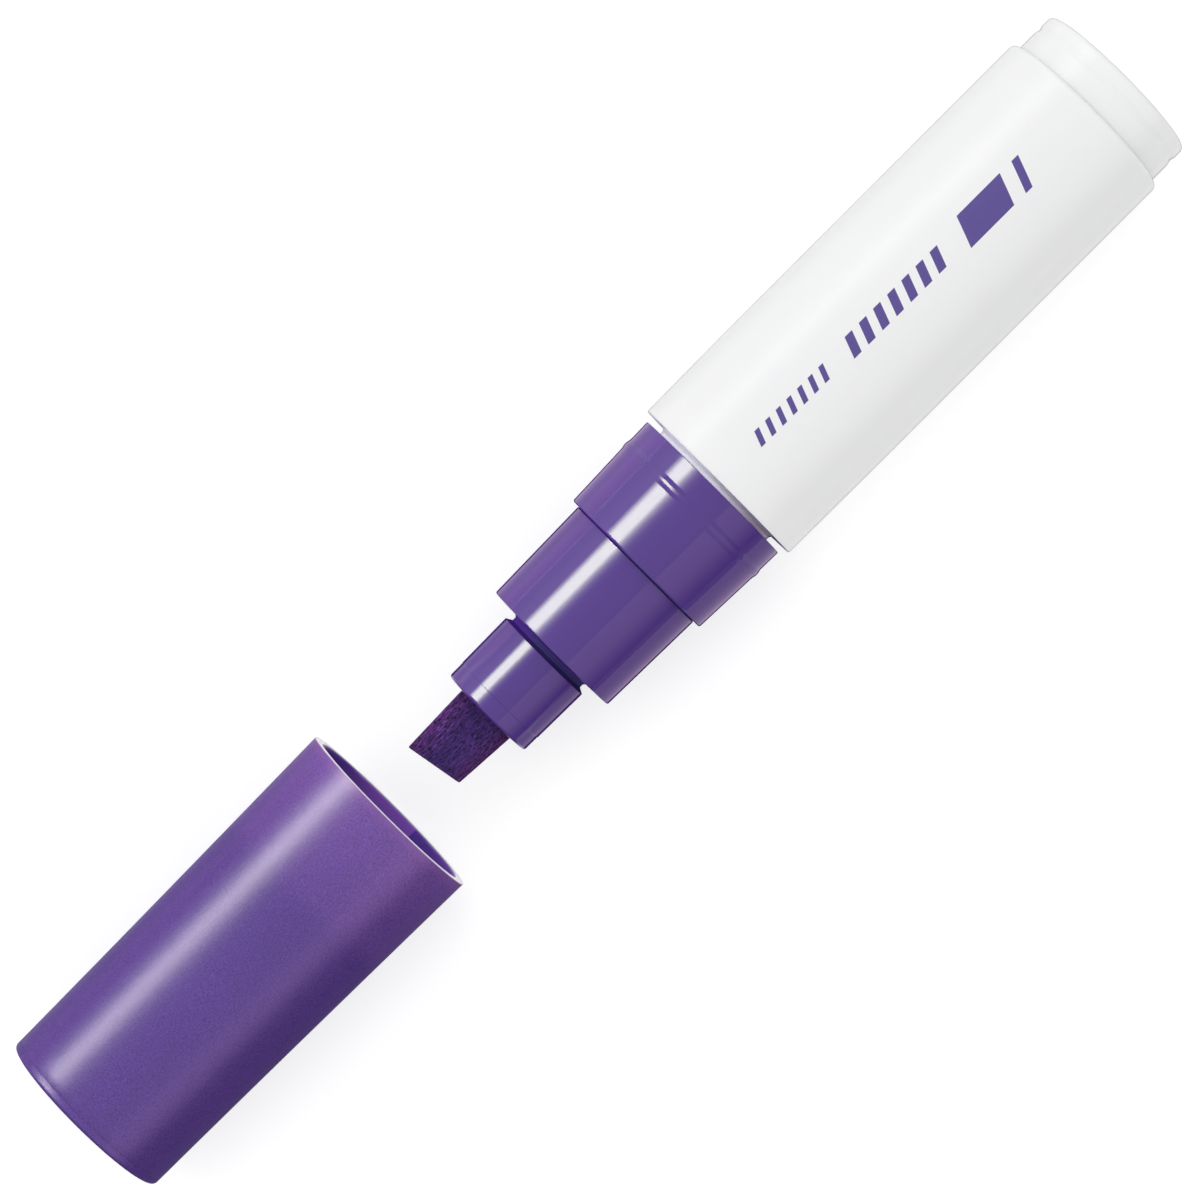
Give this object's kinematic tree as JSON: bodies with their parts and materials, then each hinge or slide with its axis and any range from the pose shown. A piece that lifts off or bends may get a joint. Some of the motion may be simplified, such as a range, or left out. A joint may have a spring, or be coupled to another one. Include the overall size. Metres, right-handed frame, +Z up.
{
  "type": "paint marker",
  "caption": "Refillable pump-action paint marker with a wide slanted chisel nib, white barrel, purple screw-on front and a pull-off cap lying in line.",
  "frame": {"origin": "middle of the footprint of the marker with its cap lying off and in line, on the ground", "axes": "+X along the marker from the cap towards the tail, +Z up, +Y to the side of the nib's longer corner"},
  "size_m": [0.1898, 0.027, 0.0269],
  "materials": {
    "white_plastic": "semi-gloss moulded polypropylene",
    "purple_gloss": "polished moulded polypropylene",
    "purple_satin": "satin moulded polypropylene",
    "natural_plastic": "unpigmented moulded polypropylene",
    "nib_fibre": "bonded fibre soaked with paint",
    "seal_rubber": "matt",
    "spring_steel": "drawn wire",
    "ball_steel": "polished"
  },
  "bodies": {
    "barrel": {"barrel": "white_plastic", "tail_plug": "white_plastic"},
    "front_unit": {"tip_housing": "purple_gloss", "nozzle": "purple_gloss", "valve_body": "natural_plastic", "valve_spring": "spring_steel", "spring_retainer": "natural_plastic", "neck_gasket": "seal_rubber", "nozzle_gasket": "seal_rubber"},
    "collar": {"front_collar": "purple_gloss"},
    "nib_unit": {"nib": "nib_fibre", "valve_plunger": "natural_plastic", "valve_washer": "seal_rubber"},
    "cap": {"cap_shell": "purple_satin", "cap_liner": "natural_plastic"},
    "front_ball": {"mixing_ball_front": "ball_steel"},
    "rear_ball": {"mixing_ball_rear": "ball_steel"}
  },
  "joints": [
    {"name": "head_lift", "type": "slide", "parent": "barrel", "child": "front_unit", "axis": [-1, 0, 0], "range_m": [0, 0.006]},
    {"name": "collar_turn", "type": "hinge", "parent": "front_unit", "child": "collar", "pos_m": [0.0135, 0, 0.01345], "axis": [-1, 0, 0], "range_deg": [0, 720]},
    {"name": "nib_press", "type": "slide", "parent": "front_unit", "child": "nib_unit", "axis": [1, 0, 0], "range_m": [0, 0.0025], "stiffness_N_per_m": 900, "deforming": ["valve_spring"]},
    {"name": "cap_slide", "type": "slide", "parent": "front_unit", "child": "cap", "axis": [1, 0, 0], "range_m": [0, 0.06006]},
    {"name": "front_ball_roll", "type": "slide", "parent": "barrel", "child": "front_ball", "axis": [1, 0, 0], "range_m": [-0.0136, 0.00725]},
    {"name": "rear_ball_roll", "type": "slide", "parent": "barrel", "child": "rear_ball", "axis": [1, 0, 0], "range_m": [-0.00725, 0.01175]}
  ],
  "couplings": [
    {"joint": "head_lift", "follows": "collar_turn", "m_per_rad": 0.0004774}
  ]
}
